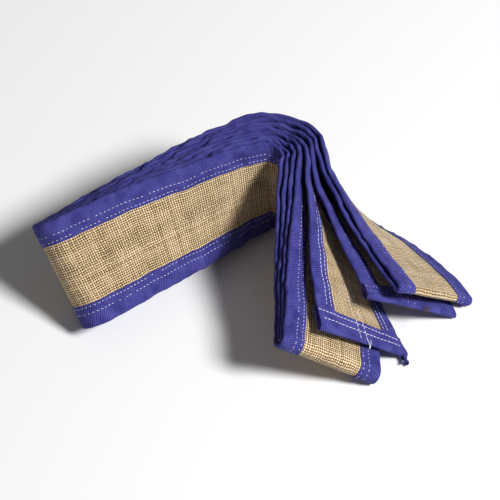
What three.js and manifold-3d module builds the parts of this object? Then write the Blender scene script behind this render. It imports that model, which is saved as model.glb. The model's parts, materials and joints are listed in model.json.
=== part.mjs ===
// A wide cloth belt of the kind used in belt wrestling, folded into eight layers and stood on its edge.
//
// The belt is one long strip: two plies of jute between an upper and a lower edge binding of blue
// cotton twill, closed at both ends by a hem of the same twill. The strip is folded to and fro
// between the left arm and the right arm of a V. All eight layers lie together in the left arm and
// round the bend. In the right arm they fan out: an inner loop of four layers, the two hemmed free
// ends, and an outer loop of two layers. The outer loop and the two ends turn about upright fold
// lines just past the bend, so the strip is cut there and each moving stretch is its own set of solids.
//
// Millimetres, +Z up, the origin under the middle of the folded belt, on the surface it stands on.
import * as THREE from "three";
import { mergeVertices } from "three/addons/utils/BufferGeometryUtils.js";
import Module from "manifold-3d";

// ---- Cloth ----
const BELT_WIDTH = 105;
const PLY = 0.8; // thickness of one jute ply
const BINDING_WALL = 0.6; // thickness of the twill
const BINDING_DEPTH = 22; // how far a binding reaches in from its edge
const HEM_DEPTH = 22; // how far a hem reaches in from the belt's end
const CLEARANCE = 0.3; // air between cloth that is sewn face to face

// ---- The folded stack, from the left folds to the bend ----
const AIR_AT_FOLDS = 1; // between one layer's bindings and the next's at the left folds
const AIR_AT_BEND = 2.5; // the layers stand looser where they turn
const LEFT_ARM = 200; // inner layer, folds to bend
const HEADING_AT_FOLDS = 29.5; // degrees from +X, seen from above
const HEADING_AT_BEND = 33.1;
const LEAN_AT_FOLDS = 47.3; // degrees from upright, positive with the upper edge leaning away
const LEAN_AT_BEND = 10.5;
const SKEW_AT_FOLDS = 0.1; // the left folds cross the strip at a slant: run along for each unit across
const EDGE_BEND_RADIUS = 2.433; // inner layer's upper edge, which turns the tightest

// ---- The right arm: each leaf leaves the bend at its own heading ----
const INNER_LOOP = {
  exitHeading: -72.5,
  endHeading: -90.7,
  headingBow: 0,
  endLean: -60,
  leanBow: -9,
  length: 179,
  endLift: 0,
};
const FIRST_END = {
  exitHeading: -68.5,
  endHeading: -78.1,
  headingBow: -5.4,
  endLean: -54.8,
  leanBow: -5.3,
  length: 177,
  endLift: 3.5,
};
const SECOND_END = {
  exitHeading: -63.9,
  endHeading: -76.4,
  headingBow: 18.6,
  endLean: -59.8,
  leanBow: -12.2,
  length: 157,
  endLift: 2.5,
};
const OUTER_LOOP = {
  exitHeading: -57,
  endHeading: -64.5,
  headingBow: 11.5,
  endLean: -53.9,
  leanBow: -12.2,
  length: 163,
  endLift: 6,
};
const LEAN_AT_EXIT = -9; // lean of the inner loop where it leaves the bend
const AIR_IN_INNER_LOOP = 1.3; // between layers where the inner loop folds back
const AIR_IN_OUTER_LOOP = 2.3;

// ---- Fold lines that turn ----
const END_HINGE = 30; // distance past the bend of the two free ends' fold lines
const LOOP_HINGE = 18; // the same for the outer loop
const END_HINGE_GAP = 4; // the strip is open by this much at a fold line
const LOOP_HINGE_GAP = 8; // two layers turn on one line there, so the gap is wider

// ---- Resting edge ----
const EDGE_FLAT = 0.8; // how much the lowest edges are pressed flat by the belt's weight

// ---- How finely the cloth is divided ----
const LEFT_STEPS = 4;
const BEND_STEPS = 5;
const LEAF_STEPS = 4;
const FOLD_STEPS = 6;
const WALK_STEPS = 64; // steps used to add up a curved path

const LAYERS = 8;
const HALF_WIDTH = BELT_WIDTH / 2;
const CORE_HALF = CLEARANCE / 2 + PLY; // half of the two plies with the air between them
const BOUND_HALF = CORE_HALF + CLEARANCE + BINDING_WALL; // half of the belt's thickness at a binding
const HEM_HALF = BOUND_HALF + CLEARANCE + BINDING_WALL; // half of its thickness at a hem
const HEM_SEAT = BINDING_WALL + CLEARANCE; // the plies and bindings stop this far from the belt's end
const UP = new THREE.Vector3(0, 0, 1);
const { lerp, degToRad } = THREE.MathUtils;

// The layer pitches are the belt's thickness at its bindings and the air between layers.
const PITCH_AT_FOLDS = 2 * BOUND_HALF + AIR_AT_FOLDS;
const PITCH_AT_BEND = 2 * BOUND_HALF + AIR_AT_BEND;
const PITCH_AT_INNER_LOOP = 2 * BOUND_HALF + AIR_IN_INNER_LOOP;
const PITCH_AT_OUTER_LOOP = 2 * BOUND_HALF + AIR_IN_OUTER_LOOP;
const BEND_RADIUS = EDGE_BEND_RADIUS + HALF_WIDTH * Math.sin(degToRad(LEAN_AT_BEND)); // middle of layer 1

/** The leaf of the right arm that a layer belongs to, layer 1 being the innermost. */
function leafOf(layer) {
  if (layer <= 4) return INNER_LOOP;
  if (layer === 5) return FIRST_END;
  return layer === 6 ? SECOND_END : OUTER_LOOP;
}

/** Directions of the cloth: along the strip, across it from upper to lower edge, and out of the stack. */
function clothFrame(heading, lean) {
  const h = degToRad(heading);
  const a = degToRad(lean);
  const along = new THREE.Vector3(Math.cos(h), Math.sin(h), 0);
  const right = new THREE.Vector3(Math.sin(h), -Math.cos(h), 0);
  const across = right.clone().multiplyScalar(Math.sin(a)).addScaledVector(UP, -Math.cos(a));
  const out = right.clone().multiplyScalar(-Math.cos(a)).addScaledVector(UP, -Math.sin(a));
  return { along, across, out };
}

/** Middle line of a layer above a plan point of layer 1, with the stack's lowest edge on the ground. */
function stackStation(layer, plan, heading, lean, pitch) {
  const frame = clothFrame(heading, lean);
  const drop = (LAYERS - 1) * pitch * Math.max(Math.sin(degToRad(lean)), 0);
  const height = drop + HALF_WIDTH * Math.cos(degToRad(lean));
  const mid = new THREE.Vector3(plan.x, plan.y, height).addScaledVector(frame.out, (layer - 1) * pitch);
  return { mid, ...frame };
}

/** The plan point reached by walking a distance along a path whose heading is given at each fraction. */
function walk(start, length, fraction, headingAt) {
  const point = start.clone();
  const step = (length * fraction) / WALK_STEPS;
  for (let i = 0; i < WALK_STEPS; i += 1) {
    const h = degToRad(headingAt(((i + 0.5) / WALK_STEPS) * fraction));
    point.x += step * Math.cos(h);
    point.y += step * Math.sin(h);
  }
  return point;
}

/** Heading of the left arm at a fraction of the way from the folds to the bend. */
function armHeading(t) {
  return lerp(HEADING_AT_FOLDS, HEADING_AT_BEND, t);
}

const ARM_START = new THREE.Vector2(0, 0);
const ARM_END = walk(ARM_START, LEFT_ARM, 1, armHeading);

/** A bow that is zero at both ends of a leaf and one in its middle. */
const bow = (t) => 4 * t * (1 - t);

/** Lean of the cloth while it turns, by how far it has turned. */
function bendLean(heading) {
  const turned = (HEADING_AT_BEND - heading) / (HEADING_AT_BEND - INNER_LOOP.exitHeading);
  return lerp(LEAN_AT_BEND, LEAN_AT_EXIT, turned);
}

/** Plan point of layer 1 in the bend at a heading. */
function bendPlan(heading) {
  const start = clothFrame(HEADING_AT_BEND, 0).out;
  const here = clothFrame(heading, 0).out;
  return new THREE.Vector2(
    ARM_END.x + BEND_RADIUS * (here.x - start.x),
    ARM_END.y + BEND_RADIUS * (here.y - start.y),
  );
}

/** A layer in the left arm, at a fraction of the way from the folds to the bend. */
function armStation(layer, t) {
  const plan = walk(ARM_START, LEFT_ARM, t, armHeading);
  const lean = lerp(LEAN_AT_FOLDS, LEAN_AT_BEND, t);
  const station = stackStation(layer, plan, armHeading(t), lean, lerp(PITCH_AT_FOLDS, PITCH_AT_BEND, t));
  station.across.addScaledVector(station.along, SKEW_AT_FOLDS * (1 - t) ** 2);
  return station;
}

/** A layer in the bend, at a fraction of the way from the left arm to its leaf. */
function bendStation(layer, t) {
  const heading = lerp(HEADING_AT_BEND, leafOf(layer).exitHeading, t);
  return stackStation(layer, bendPlan(heading), heading, bendLean(heading), PITCH_AT_BEND);
}

/** A layer in the right arm, at a fraction of its leaf's length. */
function leafStation(layer, t) {
  const leaf = leafOf(layer);
  const headingAt = (s) => lerp(leaf.exitHeading, leaf.endHeading, s) + leaf.headingBow * bow(s);
  const exitLean = bendLean(leaf.exitHeading);
  const lean = lerp(exitLean, leaf.endLean, t) + leaf.leanBow * bow(t);
  if (leaf === INNER_LOOP) {
    const plan = walk(bendPlan(leaf.exitHeading), leaf.length, t, headingAt);
    const pitch = lerp(PITCH_AT_BEND, PITCH_AT_INNER_LOOP, t);
    const inner = stackStation(1, plan, headingAt(t), lean, pitch);
    inner.mid.addScaledVector(inner.out, (layer - 1) * pitch);
    return inner;
  }
  const outermost = leaf === OUTER_LOOP ? LAYERS : layer;
  const exit = bendStation(outermost, 1);
  const exitLift = exit.mid.z - HALF_WIDTH * Math.cos(degToRad(exitLean));
  const plan = walk(new THREE.Vector2(exit.mid.x, exit.mid.y), leaf.length, t, headingAt);
  const frame = clothFrame(headingAt(t), lean);
  const height = lerp(exitLift, leaf.endLift, t) + HALF_WIDTH * Math.cos(degToRad(lean));
  const inward = (outermost - layer) * lerp(PITCH_AT_BEND, PITCH_AT_OUTER_LOOP, t);
  const mid = new THREE.Vector3(plan.x, plan.y, height).addScaledVector(frame.out, -inward);
  return { mid, ...frame };
}

/** Evenly spaced numbers from a to b, both included. */
function spread(a, b, steps) {
  return Array.from({ length: steps + 1 }, (_, i) => lerp(a, b, i / steps));
}

/** A layer from the left folds round the bend to the start of its leaf. */
function stackedPart(layer) {
  const arm = spread(0, 1, LEFT_STEPS).map((t) => armStation(layer, t));
  const bend = spread(0, 1, BEND_STEPS).slice(1).map((t) => bendStation(layer, t));
  return [...arm, ...bend];
}

/** A stretch of a layer's leaf between two distances past the bend. */
function leafPart(layer, from, to, steps) {
  const { length } = leafOf(layer);
  return spread(from / length, to / length, steps).map((t) => leafStation(layer, t));
}

/** The same stations with the front face turned to the inside of the stack. */
function faceIn(stations) {
  return stations.map((s) => ({ ...s, face: s.out.clone().negate() }));
}

/** The same stations with the front face turned to the outside of the stack. */
function faceOut(stations) {
  return stations.map((s) => ({ ...s, face: s.out.clone() }));
}

/** The half turn from one layer's last station to the next layer's first. */
function fold(from, to, bulge) {
  const centre = from.mid.clone().lerp(to.mid, 0.5);
  const arm = from.mid.clone().sub(to.mid).multiplyScalar(0.5);
  const radius = arm.length();
  const side = arm.clone().normalize();
  const outside = Math.sign(from.face.dot(side));
  return spread(0, Math.PI, FOLD_STEPS)
    .slice(1, -1)
    .map((turn) => {
      const radial = side.clone().multiplyScalar(Math.cos(turn)).addScaledVector(bulge, Math.sin(turn));
      return {
        mid: centre.clone().addScaledVector(radial, radius),
        across: from.across,
        out: from.out,
        face: radial.multiplyScalar(outside),
      };
    });
}

/** Joins stretches of the strip with a half turn between each two. */
function foldedTogether(stretches) {
  return stretches.reduce((strip, next) => {
    const last = strip[strip.length - 1];
    const atLeft = last.mid.x < ARM_END.x / 2;
    return [...strip, ...fold(last, next[0], last.along.clone().multiplyScalar(atLeft ? -1 : 1)), ...next];
  });
}

/** A whole layer of the inner loop, from the left folds to where the loop turns back. */
function innerLayer(layer) {
  return [...stackedPart(layer), ...leafPart(layer, 0, INNER_LOOP.length, LEAF_STEPS).slice(1)];
}

/** A layer from the left folds to the edge of its fold line's gap. */
function rootedLayer(layer, hinge, gap) {
  return [...stackedPart(layer), ...leafPart(layer, 0, hinge - gap / 2, 1).slice(1)];
}

/** A free end's layer from its fold line's gap to its hem, whose seat its plies and bindings stop at. */
function hemmedLayer(layer) {
  const { length } = leafOf(layer);
  const open = leafPart(layer, END_FAR_SIDE, length - HEM_DEPTH, LEAF_STEPS);
  return [...open, leafStation(layer, 1 - HEM_SEAT / length)];
}

const LOOP_FAR_SIDE = LOOP_HINGE + LOOP_HINGE_GAP / 2;
const END_FAR_SIDE = END_HINGE + END_HINGE_GAP / 2;

/** The stretches of the strip in the order in which the belt runs through them. */
const STRETCHES = {
  first_end: faceOut(hemmedLayer(5).reverse()),
  first_run: foldedTogether([
    faceOut(rootedLayer(5, END_HINGE, END_HINGE_GAP).reverse()),
    faceIn(innerLayer(4)),
    faceOut(innerLayer(1).reverse()),
    faceIn(rootedLayer(8, LOOP_HINGE, LOOP_HINGE_GAP)),
  ]),
  outer_loop: foldedTogether([
    faceIn(leafPart(8, LOOP_FAR_SIDE, OUTER_LOOP.length, LEAF_STEPS + 1)),
    faceOut(leafPart(7, LOOP_FAR_SIDE, OUTER_LOOP.length, LEAF_STEPS + 1).reverse()),
  ]),
  second_run: foldedTogether([
    faceOut(rootedLayer(7, LOOP_HINGE, LOOP_HINGE_GAP).reverse()),
    faceIn(innerLayer(2)),
    faceOut(innerLayer(3).reverse()),
    faceIn(rootedLayer(6, END_HINGE, END_HINGE_GAP)),
  ]),
  second_end: faceIn(hemmedLayer(6)),
};

/** A point of the cloth: a distance down from the middle line and a height towards the front face. */
function clothPoint(station, down, height) {
  return station.mid.clone().addScaledVector(station.across, down).addScaledVector(station.face, height);
}

/**
 * A closed body through rings of the same corner count, its two ends capped with the outline. Each
 * quad is split along the diagonal that lies further in, against the ring's outward direction, so
 * that both faces of a sheet, and the layers beside it, are split alike and keep their distance.
 */
function loft(outline, rings, outward) {
  const corners = outline.length;
  const positions = rings.flat().flatMap((p) => p.toArray());
  const index = [];
  for (let r = 0; r + 1 < rings.length; r += 1) {
    for (let c = 0; c < corners; c += 1) {
      const next = (c + 1) % corners;
      const a = r * corners + c;
      const b = r * corners + next;
      const rising = rings[r][c].clone().add(rings[r + 1][next]);
      const falling = rings[r][next].clone().add(rings[r + 1][c]);
      if (rising.sub(falling).dot(outward[r]) <= 0) {
        index.push(a, b, b + corners, a, b + corners, a + corners);
      } else {
        index.push(a, b, a + corners, b, b + corners, a + corners);
      }
    }
  }
  const contour = outline.map(([x, y]) => new THREE.Vector2(x, y));
  const clockwise = THREE.ShapeUtils.isClockWise(contour);
  const last = (rings.length - 1) * corners;
  for (const face of THREE.ShapeUtils.triangulateShape(contour, [])) {
    const sameWay = THREE.ShapeUtils.isClockWise(face.map((i) => contour[i])) === clockwise;
    const [a, b, c] = sameWay ? face : face.toReversed();
    index.push(c, b, a, last + a, last + b, last + c);
  }
  return facingOut(positions, index);
}

/** The geometry of a closed triangle list, turned so that its faces point out. */
function facingOut(positions, index) {
  const at = (i) => new THREE.Vector3().fromArray(positions, 3 * i);
  let volume = 0;
  for (let i = 0; i < index.length; i += 3) {
    volume += at(index[i]).dot(at(index[i + 1]).cross(at(index[i + 2])));
  }
  const geometry = new THREE.BufferGeometry();
  geometry.setAttribute("position", new THREE.Float32BufferAttribute(positions, 3));
  geometry.setIndex(volume < 0 ? index.slice().reverse() : index);
  return geometry;
}

/** A body of one section along the strip: corners are [down, height]. */
function alongStrip(section, stations) {
  const rings = stations.map((s) => section.map(([down, height]) => clothPoint(s, down, height)));
  return loft(section, rings, stations.map((s) => s.out));
}

/** Section of a ply: its width inside the bindings, divided where the bindings end. */
function plySection(side) {
  const edge = HALF_WIDTH - BINDING_WALL - CLEARANCE;
  const lip = HALF_WIDTH - BINDING_DEPTH;
  const near = (side * CLEARANCE) / 2;
  const far = side * CORE_HALF;
  const across = [-edge, -lip, lip, edge];
  return [...across.map((d) => [d, near]), ...across.reverse().map((d) => [d, far])];
}

/** Section of a binding folded over the upper (-1) or lower (1) edge. */
function bindingSection(side) {
  const outer = side * HALF_WIDTH;
  const inner = side * (HALF_WIDTH - BINDING_WALL);
  const lip = side * (HALF_WIDTH - BINDING_DEPTH);
  const wall = BOUND_HALF - BINDING_WALL;
  return [
    [lip, BOUND_HALF],
    [outer, BOUND_HALF],
    [outer, -BOUND_HALF],
    [lip, -BOUND_HALF],
    [lip, -wall],
    [inner, -wall],
    [inner, wall],
    [lip, wall],
  ];
}

/** A hem folded over a free end: the profile runs in from the end, and is swept across the belt. */
function hemBody(layer) {
  const stationAt = (inset) => {
    const station = leafStation(layer, 1 - inset / leafOf(layer).length);
    return { ...station, face: station.out };
  };
  const wall = HEM_HALF - BINDING_WALL;
  const profile = [
    [HEM_DEPTH, HEM_HALF],
    [0, HEM_HALF],
    [0, -HEM_HALF],
    [HEM_DEPTH, -HEM_HALF],
    [HEM_DEPTH, -wall],
    [BINDING_WALL, -wall],
    [BINDING_WALL, wall],
    [HEM_DEPTH, wall],
  ];
  const lip = HALF_WIDTH - BINDING_DEPTH;
  const reach = [-HALF_WIDTH, -lip, lip, HALF_WIDTH];
  const rings = reach.map((down) => profile.map(([inset, height]) => {
    return clothPoint(stationAt(inset), down, height);
  }));
  return loft(profile, rings, reach.map(() => stationAt(0).out));
}

const jute = new THREE.MeshStandardMaterial({ color: 0xcbb186, roughness: 0.95, metalness: 0 });
const twill = new THREE.MeshStandardMaterial({ color: 0x4a49a3, roughness: 0.8, metalness: 0 });

/** A named mesh with a material of its own. */
function piece(name, geometry, material) {
  const mesh = new THREE.Mesh(geometry, material.clone());
  mesh.name = name;
  return mesh;
}

const pieces = [];
for (const [name, strip] of Object.entries(STRETCHES)) {
  pieces.push(piece(`front_ply_${name}`, alongStrip(plySection(1), strip), jute));
  pieces.push(piece(`back_ply_${name}`, alongStrip(plySection(-1), strip), jute));
  pieces.push(piece(`upper_binding_${name}`, alongStrip(bindingSection(-1), strip), twill));
  pieces.push(piece(`lower_binding_${name}`, alongStrip(bindingSection(1), strip), twill));
}
pieces.push(piece("end_hem_first_end", hemBody(5), twill));
pieces.push(piece("end_hem_second_end", hemBody(6), twill));

// ---- The lowest edges are pressed flat where they stand ----
const wasm = await Module();
wasm.setup();

/** A manifold solid of a mesh whose vertices are already shared. */
function solidOf(geometry) {
  return new wasm.Manifold(
    new wasm.Mesh({
      numProp: 3,
      vertProperties: new Float32Array(geometry.attributes.position.array),
      triVerts: new Uint32Array(geometry.index.array),
    }),
  );
}

/** The part of a body above a level. */
function cutBelow(geometry, level) {
  geometry.computeBoundingBox();
  const { min, max } = geometry.boundingBox;
  if (min.z >= level) return geometry;
  const margin = BELT_WIDTH;
  const size = max.clone().sub(min).addScalar(2 * margin);
  const slab = new THREE.BoxGeometry(size.x, size.y, margin);
  slab.deleteAttribute("normal");
  slab.deleteAttribute("uv");
  const middle = min.clone().add(max).multiplyScalar(0.5);
  slab.translate(middle.x, middle.y, level - margin / 2);
  const cut = solidOf(geometry).subtract(solidOf(mergeVertices(slab)));
  const { vertProperties, triVerts } = cut.getMesh();
  const above = new THREE.BufferGeometry();
  above.setAttribute("position", new THREE.BufferAttribute(vertProperties, 3));
  above.setIndex(new THREE.BufferAttribute(triVerts, 1));
  return above;
}

const bounds = new THREE.Box3();
for (const mesh of pieces) {
  mesh.geometry.computeBoundingBox();
  bounds.union(mesh.geometry.boundingBox);
}
const ground = bounds.min.z + EDGE_FLAT;
const belt = new THREE.Group();
for (const mesh of pieces) {
  mesh.geometry = cutBelow(mesh.geometry, ground);
  mesh.position.set(-(bounds.min.x + bounds.max.x) / 2, -(bounds.min.y + bounds.max.y) / 2, -ground);
  belt.add(mesh);
}

export default belt;
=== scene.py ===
"""A belt-wrestling belt of jute cloth bound in blue cotton twill, folded to and fro and stood on its edge.

The belt is one long strip of two jute plies. A twill binding is folded over each long edge and a
twill hem over each end, and white thread holds them in rows. The strip makes eight layers: they
lie together in the left arm and round the bend, and fan out in the right arm. Every piece of cloth
is swept along the same path of cross-sections, so the layers, the bindings on them and the thread
in them keep their places. Lengths are millimetres until a mesh is placed in the frame, in metres.
"""

import json
import logging
import math
from dataclasses import dataclass, field, replace
from enum import Enum
from typing import Callable, Iterable, Sequence

import bpy
import numpy as np
from mathutils import Matrix, Vector


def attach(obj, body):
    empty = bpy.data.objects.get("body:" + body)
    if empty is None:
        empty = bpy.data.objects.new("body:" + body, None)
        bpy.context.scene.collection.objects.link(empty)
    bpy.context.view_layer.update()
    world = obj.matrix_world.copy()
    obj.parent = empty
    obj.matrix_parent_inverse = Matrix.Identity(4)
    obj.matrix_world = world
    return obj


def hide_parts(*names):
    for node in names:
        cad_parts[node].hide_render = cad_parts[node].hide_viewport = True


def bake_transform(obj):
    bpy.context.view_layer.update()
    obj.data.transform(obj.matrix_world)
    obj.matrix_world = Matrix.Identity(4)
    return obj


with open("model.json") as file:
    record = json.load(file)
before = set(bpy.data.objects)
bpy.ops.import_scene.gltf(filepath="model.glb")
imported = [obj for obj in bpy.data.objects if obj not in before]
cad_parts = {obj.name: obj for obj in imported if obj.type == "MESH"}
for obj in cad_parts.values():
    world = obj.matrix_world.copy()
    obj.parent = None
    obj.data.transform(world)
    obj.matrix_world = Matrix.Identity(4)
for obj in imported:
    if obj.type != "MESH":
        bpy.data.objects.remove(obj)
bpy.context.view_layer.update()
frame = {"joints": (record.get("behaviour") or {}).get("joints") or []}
LOG = logging.getLogger("belt")
Array = np.ndarray

MM = 0.001
UP = np.array([0.0, 0.0, 1.0])
WALK_STEPS = 64
LAYERS = 8
SOFT_HEIGHT = 1.5  # cloth lower than this gives way to the ground
SHARP_ANGLE = 48.0


class Slot(Enum):
    """The record's material slots."""

    JUTE = "jute_cloth"
    TWILL = "blue_twill"
    THREAD = "white_thread"


class Edge(Enum):
    """The strip's two long edges, by the sign of the distance down from its middle."""

    UPPER = -1
    LOWER = 1


class Ply(Enum):
    """The two jute plies, by the side of the strip that they are on."""

    FRONT = 1
    BACK = -1


# ---- The belt's own sizes ----


@dataclass(frozen=True)
class Cloth:
    """Sizes of the strip's section."""

    width: float = 105.0
    ply: float = 0.8
    wall: float = 0.6
    binding_depth: float = 22.0
    hem_depth: float = 22.0
    clearance: float = 0.3

    @property
    def half(self) -> float:
        """Half of the belt's width."""
        return self.width / 2

    @property
    def core(self) -> float:
        """Half of the thickness of the two plies."""
        return self.clearance / 2 + self.ply

    @property
    def bound(self) -> float:
        """Half of the thickness at a binding."""
        return self.core + self.clearance + self.wall

    @property
    def hem(self) -> float:
        """Half of the thickness at a hem."""
        return self.bound + self.clearance + self.wall

    @property
    def lip(self) -> float:
        """Distance from the middle line to a binding's inner edge."""
        return self.half - self.binding_depth


@dataclass(frozen=True)
class Leaf:
    """A leaf of the right arm, from where it leaves the bend to its far end. Angles are degrees."""

    exit_heading: float
    end_heading: float
    heading_bow: float
    end_lean: float
    lean_bow: float
    length: float
    end_lift: float


CLOTH = Cloth()
INNER_LOOP = Leaf(-72.5, -90.7, 0.0, -60.0, -9.0, 179.0, 0.0)
FIRST_END = Leaf(-68.5, -78.1, -5.4, -54.8, -5.3, 177.0, 3.5)
SECOND_END = Leaf(-63.9, -76.4, 18.6, -59.8, -12.2, 157.0, 2.5)
OUTER_LOOP = Leaf(-57.0, -64.5, 11.5, -53.9, -12.2, 163.0, 6.0)
LEAVES = {5: FIRST_END, 6: SECOND_END, 7: OUTER_LOOP, 8: OUTER_LOOP}


def lerp(a: float, b: float, t: Array | float) -> Array | float:
    """A value the share t of the way from a to b."""
    return a + (b - a) * t


def bow(t: Array | float) -> Array | float:
    """Zero at both ends of a leaf and one in its middle."""
    return 4 * t * (1 - t)


def unit(v: Array) -> Array:
    """Vectors of length one, along the last axis."""
    return v / np.linalg.norm(v, axis=-1, keepdims=True)


# ---- The strip's path ----


@dataclass
class Path:
    """Cross-sections along the strip.

    Each has a middle point, the directions along the strip, across it from upper to lower edge,
    out of the stack and towards the strip's front face, the two layers that it lies between with
    the share of the second, and its distance along the layer from the left folds.
    """

    mid: Array
    along: Array
    across: Array
    out: Array
    face: Array
    layers: Array
    share: Array
    place: Array
    arc: Array = field(default_factory=lambda: np.zeros(0))

    def reversed(self) -> "Path":
        """The same cross-sections in the other order, walked the other way."""
        turned = {name: getattr(self, name)[::-1] for name in self.names()}
        turned["along"] = -turned["along"]
        return Path(**turned)

    def facing(self, sign: int) -> "Path":
        """The same cross-sections with the front face out of the stack (1) or into it (-1)."""
        return replace(self, face=self.out * sign)

    def part(self, chosen: slice) -> "Path":
        """Some of the cross-sections."""
        return Path(**{name: getattr(self, name)[chosen] for name in self.names()})

    @staticmethod
    def names() -> tuple[str, ...]:
        """The fields that hold one row for each cross-section."""
        return ("mid", "along", "across", "out", "face", "layers", "share", "place")

    @staticmethod
    def joined(parts: Sequence["Path"]) -> "Path":
        """Paths put end to end."""
        rows = {name: np.concatenate([getattr(p, name) for p in parts]) for name in Path.names()}
        return Path(**rows)

    def measured(self, start: float) -> "Path":
        """The same path with its distance along the strip, counted from start."""
        steps = np.linalg.norm(np.diff(self.mid, axis=0), axis=1)
        return replace(self, arc=start + np.concatenate([[0.0], np.cumsum(steps)]))

    @property
    def length(self) -> float:
        """Length of the strip along the path."""
        return float(self.arc[-1] - self.arc[0])


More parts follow.
